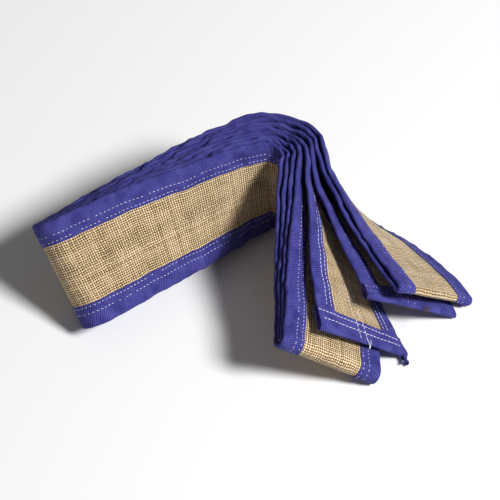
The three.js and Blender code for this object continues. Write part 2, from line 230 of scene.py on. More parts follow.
@dataclass(frozen=True)
class Folding:
    """How the strip is folded: the left arm, the bend and the leaves of the right arm."""

    pitch_at_folds: float = 4.7
    pitch_at_bend: float = 6.2
    left_arm: float = 200.0
    skew_at_folds: float = 0.1
    heading_at_folds: float = 29.5
    heading_at_bend: float = 33.1
    lean_at_folds: float = 47.3
    lean_at_bend: float = 10.5
    bend_radius: float = 12.0
    lean_at_exit: float = -9.0
    pitch_at_inner_loop: float = 5.0
    pitch_at_outer_loop: float = 6.0
    end_hinge: float = 30.0
    loop_hinge: float = 18.0
    end_zone: float = 10.0
    loop_zone: float = 12.0
    bend_place: float = 60.0
    step: float = 2.6
    fold_steps: int = 14

    def directions(self, heading: Array, lean: Array) -> tuple[Array, Array, Array]:
        """Directions of the cloth at headings and leans in degrees.

        Args:
            heading: direction of the strip seen from above, from +X.
            lean: angle from upright, positive with the upper edge leaning away.

        Returns:
            The directions along the strip, across it from upper to lower edge, and out of the stack.
        """
        h, a = np.radians(heading), np.radians(lean)
        flat = np.zeros_like(h)
        along = np.stack([np.cos(h), np.sin(h), flat], -1)
        right = np.stack([np.sin(h), -np.cos(h), flat], -1)
        across = right * np.sin(a)[..., None] - UP * np.cos(a)[..., None]
        out = -right * np.cos(a)[..., None] - UP * np.sin(a)[..., None]
        return along, across, out

    def walk(self, start: Array, length: float, t: Array, heading_at: Callable[[Array], Array]) -> Array:
        """Plan points reached by walking shares t of a length along a path of changing heading."""
        middles = (np.arange(WALK_STEPS) + 0.5) / WALK_STEPS
        h = np.radians(heading_at(t[:, None] * middles[None, :]))
        reach = (length * t / WALK_STEPS)[:, None]
        x = start[0] + (reach * np.cos(h)).sum(1)
        y = start[1] + (reach * np.sin(h)).sum(1)
        return np.stack([x, y], -1)

    def stacked(self, layer: float, plan: Array, heading: Array, lean: Array, pitch: Array) -> Path:
        """Cross-sections of a layer above plan points of layer 1, the stack's lowest edge on the ground."""
        along, across, out = self.directions(heading, lean)
        tilt = np.radians(lean)
        drop = (LAYERS - 1) * pitch * np.maximum(np.sin(tilt), 0)
        height = drop + CLOTH.half * np.cos(tilt)
        mid = np.concatenate([plan, height[:, None]], 1) + out * ((layer - 1) * pitch)[:, None]
        return self.path(mid, along, across, out, layer)

    def path(self, mid: Array, along: Array, across: Array, out: Array, layer: float) -> Path:
        """A path of one layer, its places still to be set."""
        count = len(mid)
        return Path(mid, along, across, out, out.copy(), np.full((count, 2), layer), np.zeros(count),
                    np.zeros(count))

    def arm_heading(self, t: Array) -> Array:
        """Heading of the left arm at shares of the way from the folds to the bend."""
        return lerp(self.heading_at_folds, self.heading_at_bend, t)

    def arm_end(self) -> Array:
        """Plan point of layer 1 where the bend starts."""
        return self.walk(np.zeros(2), self.left_arm, np.ones(1), self.arm_heading)[0]

    def bend_lean(self, heading: Array) -> Array:
        """Lean of the cloth in the bend, by how far it has turned."""
        turned = (self.heading_at_bend - heading) / (self.heading_at_bend - INNER_LOOP.exit_heading)
        return lerp(self.lean_at_bend, self.lean_at_exit, turned)

    def bend_plan(self, heading: Array) -> Array:
        """Plan points of layer 1 in the bend."""
        upright = np.zeros_like(heading)
        start = self.directions(np.full_like(heading, self.heading_at_bend), upright)[2]
        here = self.directions(heading, upright)[2]
        return self.arm_end() + self.bend_radius * (here - start)[:, :2]

    def arm(self, layer: float, t: Array) -> Path:
        """A layer in the left arm, at shares of the way from the folds to the bend."""
        plan = self.walk(np.zeros(2), self.left_arm, t, self.arm_heading)
        lean = lerp(self.lean_at_folds, self.lean_at_bend, t)
        pitch = lerp(self.pitch_at_folds, self.pitch_at_bend, t)
        path = self.stacked(layer, plan, self.arm_heading(t), lean, pitch)
        slant = path.along * (self.skew_at_folds * (1 - t) ** 2)[:, None]
        return replace(path, across=path.across + slant, place=self.left_arm * t)

    def bend(self, layer: float, t: Array) -> Path:
        """A layer in the bend, at shares of the way from the left arm to its leaf."""
        leaf = LEAVES.get(int(layer), INNER_LOOP)
        heading = lerp(self.heading_at_bend, leaf.exit_heading, t)
        pitch = np.full_like(heading, self.pitch_at_bend)
        path = self.stacked(layer, self.bend_plan(heading), heading, self.bend_lean(heading), pitch)
        return replace(path, place=self.left_arm + self.bend_place * t)

    def leaf(self, layer: float, distance: Array) -> Path:
        """A layer in the right arm, at distances past the bend."""
        leaf = LEAVES.get(int(layer), INNER_LOOP)
        t = np.asarray(distance, float) / leaf.length
        heading_at = lambda s: lerp(leaf.exit_heading, leaf.end_heading, s) + leaf.heading_bow * bow(s)
        exit_lean = self.bend_lean(np.array([leaf.exit_heading]))[0]
        lean = lerp(exit_lean, leaf.end_lean, t) + leaf.lean_bow * bow(t)
        place = self.left_arm + self.bend_place + leaf.length * t
        if leaf is INNER_LOOP:
            start = self.bend_plan(np.array([leaf.exit_heading]))[0]
            plan = self.walk(start, leaf.length, t, heading_at)
            pitch = lerp(self.pitch_at_bend, self.pitch_at_inner_loop, t)
            path = self.stacked(1, plan, heading_at(t), lean, pitch)
            mid = path.mid + path.out * ((layer - 1) * pitch)[:, None]
            return replace(path, mid=mid, layers=np.full((len(t), 2), layer), place=place)
        outermost = LAYERS if leaf is OUTER_LOOP else layer
        leaving = self.bend(outermost, np.ones(1)).mid[0]
        exit_lift = leaving[2] - CLOTH.half * math.cos(math.radians(exit_lean))
        plan = self.walk(leaving[:2], leaf.length, t, heading_at)
        along, across, out = self.directions(heading_at(t), lean)
        height = lerp(exit_lift, leaf.end_lift, t) + CLOTH.half * np.cos(np.radians(lean))
        inward = (outermost - layer) * lerp(self.pitch_at_bend, self.pitch_at_outer_loop, t)
        mid = np.concatenate([plan, height[:, None]], 1) - out * inward[:, None]
        return replace(self.path(mid, along, across, out, layer), place=place)

    def stops(self, start: float, end: float) -> Array:
        """Even distances from start to end, both included, about a step apart."""
        return np.linspace(start, end, max(2, int(round(abs(end - start) / self.step)) + 1))

    def layer(self, layer: float, reach: float) -> Path:
        """A layer from the left folds to a distance past the bend."""
        arm = self.arm(layer, self.stops(0, self.left_arm) / self.left_arm)
        turn = self.bend(layer, np.linspace(0, 1, 37)[1:])
        return Path.joined([arm, turn, self.leaf(layer, self.stops(0, reach)).part(slice(1, None))])

    def half_turn(self, before: Path, after: Path) -> Path:
        """The half turn from one layer's last cross-section to the next layer's first."""
        a, b = before.mid[-1], after.mid[0]
        bulge = before.along[-1]
        centre, arm = (a + b) / 2, (a - b) / 2
        radius, side = np.linalg.norm(arm), unit((a - b) / 2)
        outside = np.sign(before.face[-1] @ side)
        turn = np.linspace(0, math.pi, self.fold_steps + 1)[1:-1]
        radial = side * np.cos(turn)[:, None] + bulge * np.sin(turn)[:, None]
        forward = -side * np.sin(turn)[:, None] + bulge * np.cos(turn)[:, None]
        count = len(turn)
        layers = np.tile([before.layers[-1, 0], after.layers[0, 0]], (count, 1))
        return Path(centre + radial * radius, forward, np.tile(before.across[-1], (count, 1)),
                    np.tile(before.out[-1], (count, 1)), radial * outside, layers,
                    (1 - np.cos(turn)) / 2, np.full(count, before.place[-1]))

    def folded(self, parts: Sequence[Path]) -> Path:
        """Joins layers with a half turn between each two."""
        joined = [parts[0]]
        for before, after in zip(parts, parts[1:]):
            joined += [self.half_turn(before, after), after]
        return Path.joined(joined)


FOLDING = Folding()


class Stretch(Enum):
    """The strip's stretches, in the order in which the belt runs through them."""

    FIRST_END = "first_end"
    FIRST_RUN = "first_run"
    OUTER_LOOP = "outer_loop"
    SECOND_RUN = "second_run"
    SECOND_END = "second_end"

    @property
    def body(self) -> str:
        """The body of the frame that the stretch rides on."""
        return self.value if self in MOVING else "folded_stack"


MOVING = {Stretch.FIRST_END: 5, Stretch.SECOND_END: 6, Stretch.OUTER_LOOP: 8}
HEM_SEAT = 1.8  # the plies and bindings stop this far inside a hem's rounded end


def strip_paths() -> dict[Stretch, Path]:
    """The path of each stretch, measured from the first end to the second."""
    f = FOLDING
    end_seam, loop_seam = f.end_hinge - f.end_zone, f.loop_hinge - f.loop_zone
    full = INNER_LOOP.length

    def tail(layer: int, seam: float, end: float) -> Path:
        """A layer's leaf from a seam outward."""
        return f.leaf(layer, f.stops(seam, end))

    paths = {
        Stretch.FIRST_END: tail(5, end_seam, FIRST_END.length - HEM_SEAT).reversed().facing(1),
        Stretch.FIRST_RUN: f.folded([
            f.layer(5, end_seam).reversed().facing(1),
            f.layer(4, full).facing(-1),
            f.layer(1, full).reversed().facing(1),
            f.layer(8, loop_seam).facing(-1),
        ]),
        Stretch.OUTER_LOOP: f.folded([
            tail(8, loop_seam, OUTER_LOOP.length).facing(-1),
            tail(7, loop_seam, OUTER_LOOP.length).reversed().facing(1),
        ]),
        Stretch.SECOND_RUN: f.folded([
            f.layer(7, loop_seam).reversed().facing(1),
            f.layer(2, full).facing(-1),
            f.layer(3, full).reversed().facing(1),
            f.layer(6, end_seam).facing(-1),
        ]),
        Stretch.SECOND_END: tail(6, end_seam, SECOND_END.length - HEM_SEAT).facing(-1),
    }
    start = HEM_SEAT
    for stretch in Stretch:
        paths[stretch] = paths[stretch].measured(start)
        start = float(paths[stretch].arc[-1])
    return paths


# ---- How real cloth strays from its even path ----


@dataclass(frozen=True)
class Drape:
    """Waves of the layers and puckers of the bindings, in millimetres."""

    seed: int = 11
    places: tuple[float, ...] = (0, 80, 170, 215, 265, 340, 440)
    wave: tuple[float, ...] = (0.18, 0.45, 0.85, 0.95, 0.8, 0.5, 0.3)
    shared: tuple[float, ...] = (0.25, 0.6, 0.8, 0.7, 0.6, 0.7, 0.6)
    slip: tuple[float, ...] = (0.6, 2.0, 2.9, 2.7, 1.7, 0.9, 0.7)
    pucker: tuple[float, ...] = (0.35, 1.0, 1.35, 1.3, 1.0, 0.75, 0.5)
    ruffle: tuple[float, ...] = (0.2, 0.4, 0.5, 0.5, 0.45, 0.35, 0.25)
    ruffle_lengths: tuple[float, ...] = (19.0, 11.0, 34.0)
    ruffle_slants: tuple[float, ...] = (1.6, 0.6, 0.2)  # run along for each unit across
    pucker_slants: tuple[float, ...] = (1.5, 0.4, 0.9)
    loose: float = 1.9  # the free leaves stray this much further than packed layers
    loosening: float = 60.0  # distance over which they come free
    innermost: float = 0.5  # nothing presses the innermost layer out of its place
    wave_lengths: tuple[float, ...] = (61.0, 33.0, 17.5)
    wave_weights: tuple[float, ...] = (0.5, 0.33, 0.17)
    wave_slant: float = 0.35  # turns that a wave is ahead by at the strip's edge
    edge_lag: float = 0.6  # radians between a wave at the two edges and in the middle
    middle_share: float = 0.35  # of a wave at the edges, how much the middle makes
    weights: tuple[float, ...] = (0.5, 0.3, 0.2)
    shared_lengths: tuple[float, ...] = (83.0, 47.0, 29.0)
    slip_lengths: tuple[float, ...] = (97.0, 41.0, 23.0)
    pucker_lengths: tuple[float, ...] = (9.5, 13.0, 21.0)

    def phases(self, count: int) -> Array:
        """Fixed phases, one row for each layer and a few for the strip as a whole."""
        return np.random.default_rng(self.seed).uniform(0, 2 * math.pi, (LAYERS + 4, count))

    def layer_wave(self, layer: Array, place: Array, down: Array) -> Array:
        """How far a layer stands out of its place, most along its edges."""
        phase = self.phases(6)[layer.astype(int) - 1]
        size = np.interp(place, self.places, self.wave) * self.freedom(layer, place)
        total = np.zeros(np.broadcast(place[:, None], down[None, :]).shape)
        for k, (length, weight) in enumerate(zip(self.wave_lengths, self.wave_weights)):
            turn = 2 * math.pi * (place[:, None] / length + self.wave_slant * down[None, :] / CLOTH.half)
            total += weight * np.sin(turn + phase[:, k][:, None] + np.sign(down)[None, :] * self.edge_lag)
        middle = self.middle_share
        edge = middle + (1 - middle) * np.abs(down / CLOTH.half)[None, :] ** 1.5
        return size[:, None] * edge * total + self.shared_wave(place, down)

    def freedom(self, layer: Array, place: Array) -> Array:
        """One where a layer lies packed, less for the innermost, more where it hangs free."""
        past = np.clip((place - self.places[4]) / self.loosening, 0, 1)
        free = 1 + (self.loose - 1) * past
        return np.where(layer > 4, free, np.where(layer < 2, self.innermost, 1.0))

    def shared_wave(self, place: Array, down: Array) -> Array:
        """How far all layers stand out of their places together."""
        phase = self.phases(6)[LAYERS + 3]
        size = np.interp(place, self.places, self.shared)
        turns = [place[:, None] / length + 0.2 * (k - 1) * down[None, :] / CLOTH.half
                 for k, length in enumerate(self.shared_lengths)]
        waves = [np.sin(2 * math.pi * turn + phase[k]) for k, turn in enumerate(turns)]
        return size[:, None] * sum(weight * wave for weight, wave in zip(self.weights, waves))

    def slipped(self, path: Path) -> Array:
        """How far each cross-section has slipped across the strip, towards its lower edge."""
        slips = []
        for layer in (path.layers[:, 0], path.layers[:, 1]):
            phase = self.phases(6)[layer.astype(int) - 1]
            turns = [2 * math.pi * path.place / length + phase[:, 5 - k] + layer
                     for k, length in enumerate(self.slip_lengths)]
            waves = sum(weight * np.sin(turn) for weight, turn in zip(self.weights, turns))
            middle = np.where((layer < 2) | (layer > 7), self.innermost, 1.0)
            size = np.interp(path.place, self.places, self.slip) * middle
            slips.append(size * waves)
        return slips[0] + (slips[1] - slips[0]) * path.share

    def stray(self, path: Path, down: Array) -> Array:
        """Displacement of a path's points out of the stack, one row for each cross-section."""
        return self.by_layer(path, lambda layer: self.layer_wave(layer, path.place, down))

    def puckers(self, path: Path, inset: Array, side: int) -> Array:
        """Height of the slanted puckers of a binding.

        Args:
            path: the stretch that the binding runs along.
            inset: distances in from the binding's inner edge, one for each point of its profile.
            side: 1 on the strip's front and -1 on its back.

        Returns:
            Heights from 0 up, one row for each cross-section.
        """
        lengths, slants = self.pucker_lengths, self.pucker_slants

        def shape(layer: Array) -> Array:
            freedom = np.maximum(self.freedom(layer, path.place), 1.0)
            size = np.interp(path.place, self.places, self.pucker) * freedom
            total = self.slanted(path.place, inset, layer, lengths, slants, 0.9 * side)
            return size[:, None] * np.clip(0.5 + 0.42 * total, 0, 1.3) ** 1.8

        free = np.interp(inset, (0, 4, 9, 14), (0.1, 0.14, 0.2, 1.0))[None, :]
        return free * self.by_layer(path, shape)

    def ruffles(self, path: Path, inset: Array) -> Array:
        """How far a binding's edge is ruffled outward, past its rows of stitches, in slanted folds."""
        size = np.interp(path.place, self.places, self.ruffle)[:, None]
        free = np.clip((inset - 10) / 11, 0, 1)[None, :] ** 1.4
        lengths, slants = self.ruffle_lengths, self.ruffle_slants
        shape = lambda layer: self.slanted(path.place, inset, layer, lengths, slants, 0.0)
        return size * free * self.by_layer(path, shape)

    def slanted(self, place: Array, inset: Array, layer: Array, lengths: Sequence[float],
                slants: Sequence[float], turned: float) -> Array:
        """A sum of waves that run along a layer, their crests slanted across the binding."""
        phase = self.phases(6)[layer.astype(int) - 1]
        total = np.zeros((len(place), len(inset)))
        for k, length in enumerate(lengths):
            drift = 1.5 * np.sin(2 * math.pi * place / (length * 5.3) + phase[:, k + 3])
            turn = 2 * math.pi * (place[:, None] + slants[k] * inset[None, :]) / length
            total += np.sin(turn + (drift + phase[:, k])[:, None] + turned * (k + 1)) / (1 + 0.4 * k)
        return total

    def by_layer(self, path: Path, shape: Callable[[Array], Array]) -> Array:
        """A value for each point, taken from one layer to the next over the half turns."""
        first, second = shape(path.layers[:, 0]), shape(path.layers[:, 1])
        return first + (second - first) * path.share[:, None]


DRAPE = Drape()


# ---- Meshes ----


@dataclass
class Skin:
    """Points of a sheet's two faces as grids, with the cloth coordinates of each grid point."""

    outer: Array
    inner: Array
    uv: Array

    def mesh(self, name: str) -> bpy.types.Mesh:
        """A closed mesh of the two faces and the walls between their borders."""
        rows, columns = self.outer.shape[:2]
        count = rows * columns
        index = np.arange(count).reshape(rows, columns)
        quads = np.stack([index[:-1, :-1], index[1:, :-1], index[1:, 1:], index[:-1, 1:]], -1).reshape(-1, 4)
        border = np.concatenate([index[0, :-1], index[:-1, -1], index[-1, :0:-1], index[:0:-1, 0]])
        following = np.roll(border, -1)
        walls = np.stack([border, following, following + count, border + count], -1)
        faces = np.concatenate([quads, quads[:, ::-1] + count, walls])
        points = np.concatenate([self.outer.reshape(-1, 3), self.inner.reshape(-1, 3)])
        uv = np.concatenate([self.uv.reshape(-1, 2)] * 2)
        return quad_mesh(name, points, faces, uv)


def signed_volume(points: Array, faces: Array) -> float:
    """Six times the volume that quads close, below zero where they face inward."""
    a, b, c, d = (points[faces[:, k]] for k in range(4))
    return float((a * np.cross(b, c)).sum() + (a * np.cross(c, d)).sum())


def quad_mesh(name: str, points: Array, faces: Array, uv: Array | None = None) -> bpy.types.Mesh:
    """A mesh of quads facing out, in metres.

    Args:
        name: the mesh's name.
        points: places in millimetres.
        faces: four point numbers for each face.
        uv: cloth coordinates of each point in millimetres.

    Returns:
        The smooth-shaded mesh.
    """
    if signed_volume(points, faces) < 0:
        faces = faces[:, ::-1]
    mesh = bpy.data.meshes.new(name)
    mesh.vertices.add(len(points))
    mesh.vertices.foreach_set("co", (points * MM).astype(np.float32).ravel())
    mesh.loops.add(faces.size)
    mesh.loops.foreach_set("vertex_index", faces.astype(np.int32).ravel())
    mesh.polygons.add(len(faces))
    mesh.polygons.foreach_set("loop_start", np.arange(0, faces.size, 4, dtype=np.int32))
    if uv is not None:
        layer = mesh.uv_layers.new(name="cloth")
        layer.data.foreach_set("uv", (uv[faces.ravel()] * MM).astype(np.float32).ravel())
    mesh.update(calc_edges=True)
    mesh.validate()
    mesh.polygons.foreach_set("use_smooth", np.ones(len(mesh.polygons), bool))
    mesh.set_sharp_from_angle(angle=math.radians(SHARP_ANGLE))
    return mesh


def pressed(points: Array) -> Array:
    """Points with the lowest edges pressed flat against the ground."""
    z = points[..., 2]
    low = SOFT_HEIGHT * np.exp((np.minimum(z, SOFT_HEIGHT) - SOFT_HEIGHT) / SOFT_HEIGHT)
    return np.concatenate([points[..., :2], np.where(z < SOFT_HEIGHT, low, z)[..., None]], -1)


def frame_shift() -> Array:
    """The move from the path's own origin to the frame's, in millimetres."""
    joint = next(j for j in frame["joints"] if j["name"] == "outer_loop_fold")
    hinge = np.array([FOLDING.loop_hinge])
    middle = (FOLDING.leaf(7, hinge).mid[0] + FOLDING.leaf(8, hinge).mid[0]) / 2
    return np.array(joint["pos_m"]) / MM - middle


SHIFT = frame_shift()


def cloth_points(path: Path, down: Array, height: Array, ruffle: Array | float = 0.0) -> Array:
    """Points of the cloth in the frame.

    Args:
        path: the cross-sections.
        down: distances down from the middle line, one for each point of the section.
        height: heights towards the front face, one row for each cross-section or one for all.
        ruffle: further distances down, in the same form as the heights.

    Returns:
        A grid of points, one row for each cross-section.
    """
    height = np.broadcast_to(height, (len(path.mid), len(down)))
    reach = down[None, :] + DRAPE.slipped(path)[:, None] + ruffle
    points = (path.mid[:, None, :] + path.across[:, None, :] * reach[..., None]
              + path.face[:, None, :] * height[..., None]
              + path.out[:, None, :] * DRAPE.stray(path, down)[..., None])
    return pressed(points + SHIFT)


# ---- Sewing ----


@dataclass(frozen=True)
class Sewing:
    """The rows of stitches and how they pull the cloth in. Row places are from a binding's inner edge."""

    binding_rows: tuple[float, float] = (2.8, 8.8)
    hem_rows: tuple[float, float] = (3.6, 11.0)
    centre_row: float = 4.1
    pitch: float = 4.0
    stitch: float = 2.1
    hem_pitch: float = 4.4
    hem_stitch: float = 2.3
    pull: float = 0.2
    pull_width: float = 1.1

    def dimples(self, inset: Array, rows: Iterable[float]) -> Array:
        """How far rows of stitches pull a surface in, at distances from its inner edge."""
        return sum(self.pull * np.exp(-(((inset - row) / self.pull_width) ** 2)) for row in rows)


SEWING = Sewing()


@dataclass(frozen=True)
class Section:
    """The strip's section: where its surfaces lie, with every rise and dimple of the cloth."""

    flat: tuple[float, ...] = (0, 0.5, 1.2, 2.0, 2.8, 3.6, 5.6, 7.8, 8.8, 9.8, 11.6, 13.4, 15.2, 17.0, 18.7)
    arc_steps: int = 8
    plump: float = 0.1
    pucker_height: float = 0.75
    crown: float = 0.32
    centre_dimple: float = 0.8
    unevenness: tuple[tuple[float, float, float], ...] = ((0.1, 43.0, 9.0), (0.08, 19.0, -6.0))
    ply_margin: float = 0.7
    lower_ruffle: float = 0.4  # the lower edge carries the weight, which evens it

    def binding(self, path: Path, edge: Edge) -> Skin:
        """A binding folded over one edge of a stretch."""
        centre = CLOTH.half - CLOTH.bound
        turn = np.linspace(0, math.pi, self.arc_steps + 1)
        flat = np.array(self.flat)
        inset = np.concatenate([flat, CLOTH.binding_depth - CLOTH.bound + CLOTH.bound * np.sin(turn),
                                flat[::-1]])
        down = CLOTH.lip + inset
        rise = np.concatenate([np.ones(len(flat)), np.cos(turn), -np.ones(len(flat))])
        front, back = self.binding_swell(path, inset, 1), self.binding_swell(path, inset, -1)
        swell = back + (front - back) * (rise[None, :] + 1) / 2
        swell = swell * np.clip((CLOTH.binding_depth - inset) / 3, 0.15, 1)[None, :]
        outer_height = rise[None, :] * (CLOTH.bound + swell)
        inner_reach = np.minimum(down, centre + (CLOTH.bound - CLOTH.wall) * np.maximum(np.sin(
            np.concatenate([np.zeros(len(flat)), turn, np.zeros(len(flat))])), 0) + 1e-9)
        inner_down = np.where(down > centre, inner_reach, down)
        inner_height = rise[None, :] * (CLOTH.bound - CLOTH.wall + swell)
        run = self.unrolled(down, rise * CLOTH.bound)
        loose = 1.0 if edge is Edge.UPPER else self.lower_ruffle
        ruffle = edge.value * loose * DRAPE.ruffles(path, inset)
        outer = cloth_points(path, edge.value * down, outer_height, ruffle)
        inner = cloth_points(path, edge.value * inner_down, inner_height, ruffle)
        return Skin(outer, inner, self.coordinates(path, run))

    def ply(self, path: Path, ply: Ply) -> Skin:
        """A jute ply of a stretch."""
        edge = CLOTH.half - CLOTH.bound - self.ply_margin
        row = SEWING.centre_row
        half = np.array([0, 1.6, 2.9, row, 5.3, 7.5, 10.5, 14, 18, 22, 26, 29, CLOTH.lip, 34, 42, edge])
        down = np.concatenate([-half[:0:-1], half])
        height = self.ply_height(path, down)
        outer = cloth_points(path, down, ply.value * height)
        inner = cloth_points(path, down, ply.value * (height - CLOTH.ply))
        return Skin(outer, inner, self.coordinates(path, down))

    def binding_swell(self, path: Path, inset: Array, side: int) -> Array:
        """How far a binding stands proud of its even thickness on one side of the strip."""
        dimples = SEWING.dimples(inset, SEWING.binding_rows)[None, :]
        return self.plump - dimples + self.pucker_height * DRAPE.puckers(path, inset, side)

    def ply_height(self, path: Path, down: Array) -> Array:
        """Height of a ply's surface: it swells between the bindings and dips along the centre rows."""
        shown = np.clip(1 - (down / CLOTH.lip) ** 2, 0, 1)
        dimples = self.centre_dimple * SEWING.dimples(np.abs(down), (SEWING.centre_row,))
        turn = 2 * math.pi * path.arc[:, None]
        uneven = sum(size * np.sin(turn / length + down[None, :] / slant)
                     for size, length, slant in self.unevenness)
        return CLOTH.core + self.crown * shown - dimples + uneven * shown

    def unrolled(self, down: Array, height: Array) -> Array:
        """Distance along a profile from its first point."""
        steps = np.hypot(np.diff(down), np.diff(height))
        return np.concatenate([[0.0], np.cumsum(steps)])

    def coordinates(self, path: Path, run: Array) -> Array:
        """Cloth coordinates: along the strip and across it."""
        return np.stack(np.broadcast_arrays(path.arc[:, None], run[None, :]), -1)

    def row_height(self, path: Path, row: "Row") -> Array:
        """Height of the surface under a row of stitches."""
        if row.on_binding:
            inset = np.array([abs(row.down) - CLOTH.lip])
            return row.side * (CLOTH.bound + self.binding_swell(path, inset, row.side)[:, 0])
        return row.side * self.ply_height(path, np.array([row.down]))[:, 0]


SECTION = Section()


@dataclass(frozen=True)
class Row:
    """A row of stitches along the strip, on one side of it."""

    down: float
    side: int
    on_binding: bool


def rows_along() -> list[Row]:
    """Every row along the strip, on both of its sides."""
    binding = [CLOTH.lip + inset for inset in SEWING.binding_rows]
    rows = [Row(edge.value * down, side, True) for edge in Edge for down in binding for side in (1, -1)]
    return rows + [Row(sign * SEWING.centre_row, side, False) for sign in (-1, 1) for side in (1, -1)]


@dataclass(frozen=True)
class Thickness:
    """How much of a thread shows: its radius in millimetres, how deep it has sunk, in radii, and gaps."""

    radius: float
    sunk: float
    missed: float
    stretch: float = 1.0  # how much of the even length of a stitch shows


CRISP = Thickness(0.3, 0.0, 0.04, 1.55)
WORN = Thickness(0.25, 0.1, 0.08)
BURIED = Thickness(0.22, 0.5, 0.3)
LOOKS = {
    Stretch.FIRST_END: CRISP,
    Stretch.SECOND_END: BURIED,
    Stretch.OUTER_LOOP: BURIED,
    Stretch.FIRST_RUN: WORN,
    Stretch.SECOND_RUN: WORN,
}


class Stitches:
    """Gathers stitches as small capsules of thread and makes one mesh of them."""

    RING = 6
    TILT, UNEVEN, DEPTH = 0.05, 0.12, 0.04  # spreads of direction, length and depth from stitch to stitch
    PROUD, DIP = 0.1, 1.5  # radii that a stitch stands out in its middle and goes in at its ends
    WIDE, FLAT = 1.05, 0.85  # the tension flattens the thread
    STATIONS = ((-0.5, 0.3), (-0.4, 0.8), (-0.15, 1.0), (0.15, 1.0), (0.4, 0.8), (0.5, 0.3))

    def __init__(self, seed: int) -> None:
        """Starts with no stitches."""
        self.random = np.random.default_rng(seed)
        self.points: list[Array] = []

    def lay(self, centres: Array, along: Array, normal: Array, length: float, look: Thickness) -> None:
        """Adds stitches.

        Args:
            centres: the stitches' middles, in millimetres.
            along: the direction of each stitch.
            normal: the direction out of the cloth at each stitch.
            length: a stitch's length.
            look: how thick the thread shows and how deep it has sunk.
        """
        kept = self.random.uniform(size=len(centres)) > look.missed
        centres, along, normal = centres[kept], along[kept], normal[kept]
        count = len(centres)
        side = unit(np.cross(normal, along))
        tilt = self.random.normal(0, self.TILT, count)[:, None]
        along = unit(along + side * tilt)
        side = unit(np.cross(normal, along))
        reach = length * look.stretch * (1 + self.random.normal(0, self.UNEVEN, count))
        sunk = self.random.normal(0, self.DEPTH, count) - look.sunk
        turn = np.arange(self.RING) * 2 * math.pi / self.RING
        grid = np.empty((count, len(self.STATIONS), self.RING, 3))
        for k, (place, size) in enumerate(self.STATIONS):
            middle = centres + along * (reach * place)[:, None]
            lift = (self.PROUD + sunk - self.DIP * place ** 2)[:, None] * look.radius
            middle = middle + normal * lift
            for r, angle in enumerate(turn):
                around = side * math.cos(angle) * self.WIDE + normal * math.sin(angle) * self.FLAT
                grid[:, k, r] = middle + around * (look.radius * size)
        self.points.append(grid.reshape(count, -1, 3))

    def mesh(self, name: str) -> bpy.types.Mesh:
        """One mesh of every stitch, each a closed body."""
        points = np.concatenate(self.points)
        rings, ring = len(self.STATIONS), self.RING
        faces = []
        for k in range(rings - 1):
            for r in range(ring):
                following = (r + 1) % ring
                faces.append((k * ring + r, k * ring + following, (k + 1) * ring + following,
                              (k + 1) * ring + r))
        last = (rings - 1) * ring
        faces += [(3, 2, 1, 0), (5, 4, 3, 0), (last, last + 1, last + 2, last + 3),
                  (last, last + 3, last + 4, last + 5)]
        per = rings * ring
        whole = (np.array(faces)[None] + (np.arange(len(points)) * per)[:, None, None]).reshape(-1, 4)
        return quad_mesh(name, points.reshape(-1, 3), whole)


def resampled(points: Array, arc: Array, stops: Array) -> Array:
    """Points of a line at given distances along the strip."""
    return np.stack([np.interp(stops, arc, points[:, k]) for k in range(3)], -1)


def sew_row(stitches: Stitches, path: Path, row: Row, look: Thickness) -> None:
    """Sews one row along a stretch."""
    down = np.full(1, row.down)
    wobble = 0.35 * np.sin(2 * math.pi * path.arc / 117 + row.down) + 0.2 * np.sin(path.arc / 7 + row.side)
    height = SECTION.row_height(path, row)
    line = cloth_points(path, down, height[:, None])[:, 0] + path.across * wobble[:, None]
    first = math.ceil((path.arc[0] + SEWING.pitch / 2) / SEWING.pitch) * SEWING.pitch
    stops = np.arange(first, path.arc[-1] - SEWING.pitch / 2, SEWING.pitch)
    centres = resampled(line, path.arc, stops)
    ahead = resampled(line, path.arc, stops + 0.8) - resampled(line, path.arc, stops - 0.8)
    normal = unit(resampled(path.face, path.arc, stops)) * row.side
    stitches.lay(centres, unit(ahead), normal, SEWING.stitch, look)


# ---- Hems ----


@dataclass(frozen=True)
class LooseEnds:
    """Loose ends at a hem: where they start and how they hang, in millimetres."""

    down: float
    spread: float
    count: int
    inset: float
    length: float
    sway: float
    side: int
    droop: float
    look: Thickness


THREAD_TAILS = LooseEnds(4.5, 3.4, 2, 3.0, 9.0, 1.1, 1, 0.25, Thickness(0.3, 0.0, 0.0))
FRAYED_YARN = LooseEnds(16.0, 1.3, 6, 2.0, 8.0, 1.6, 1, 0.2, Thickness(0.26, 0.0, 0.0))


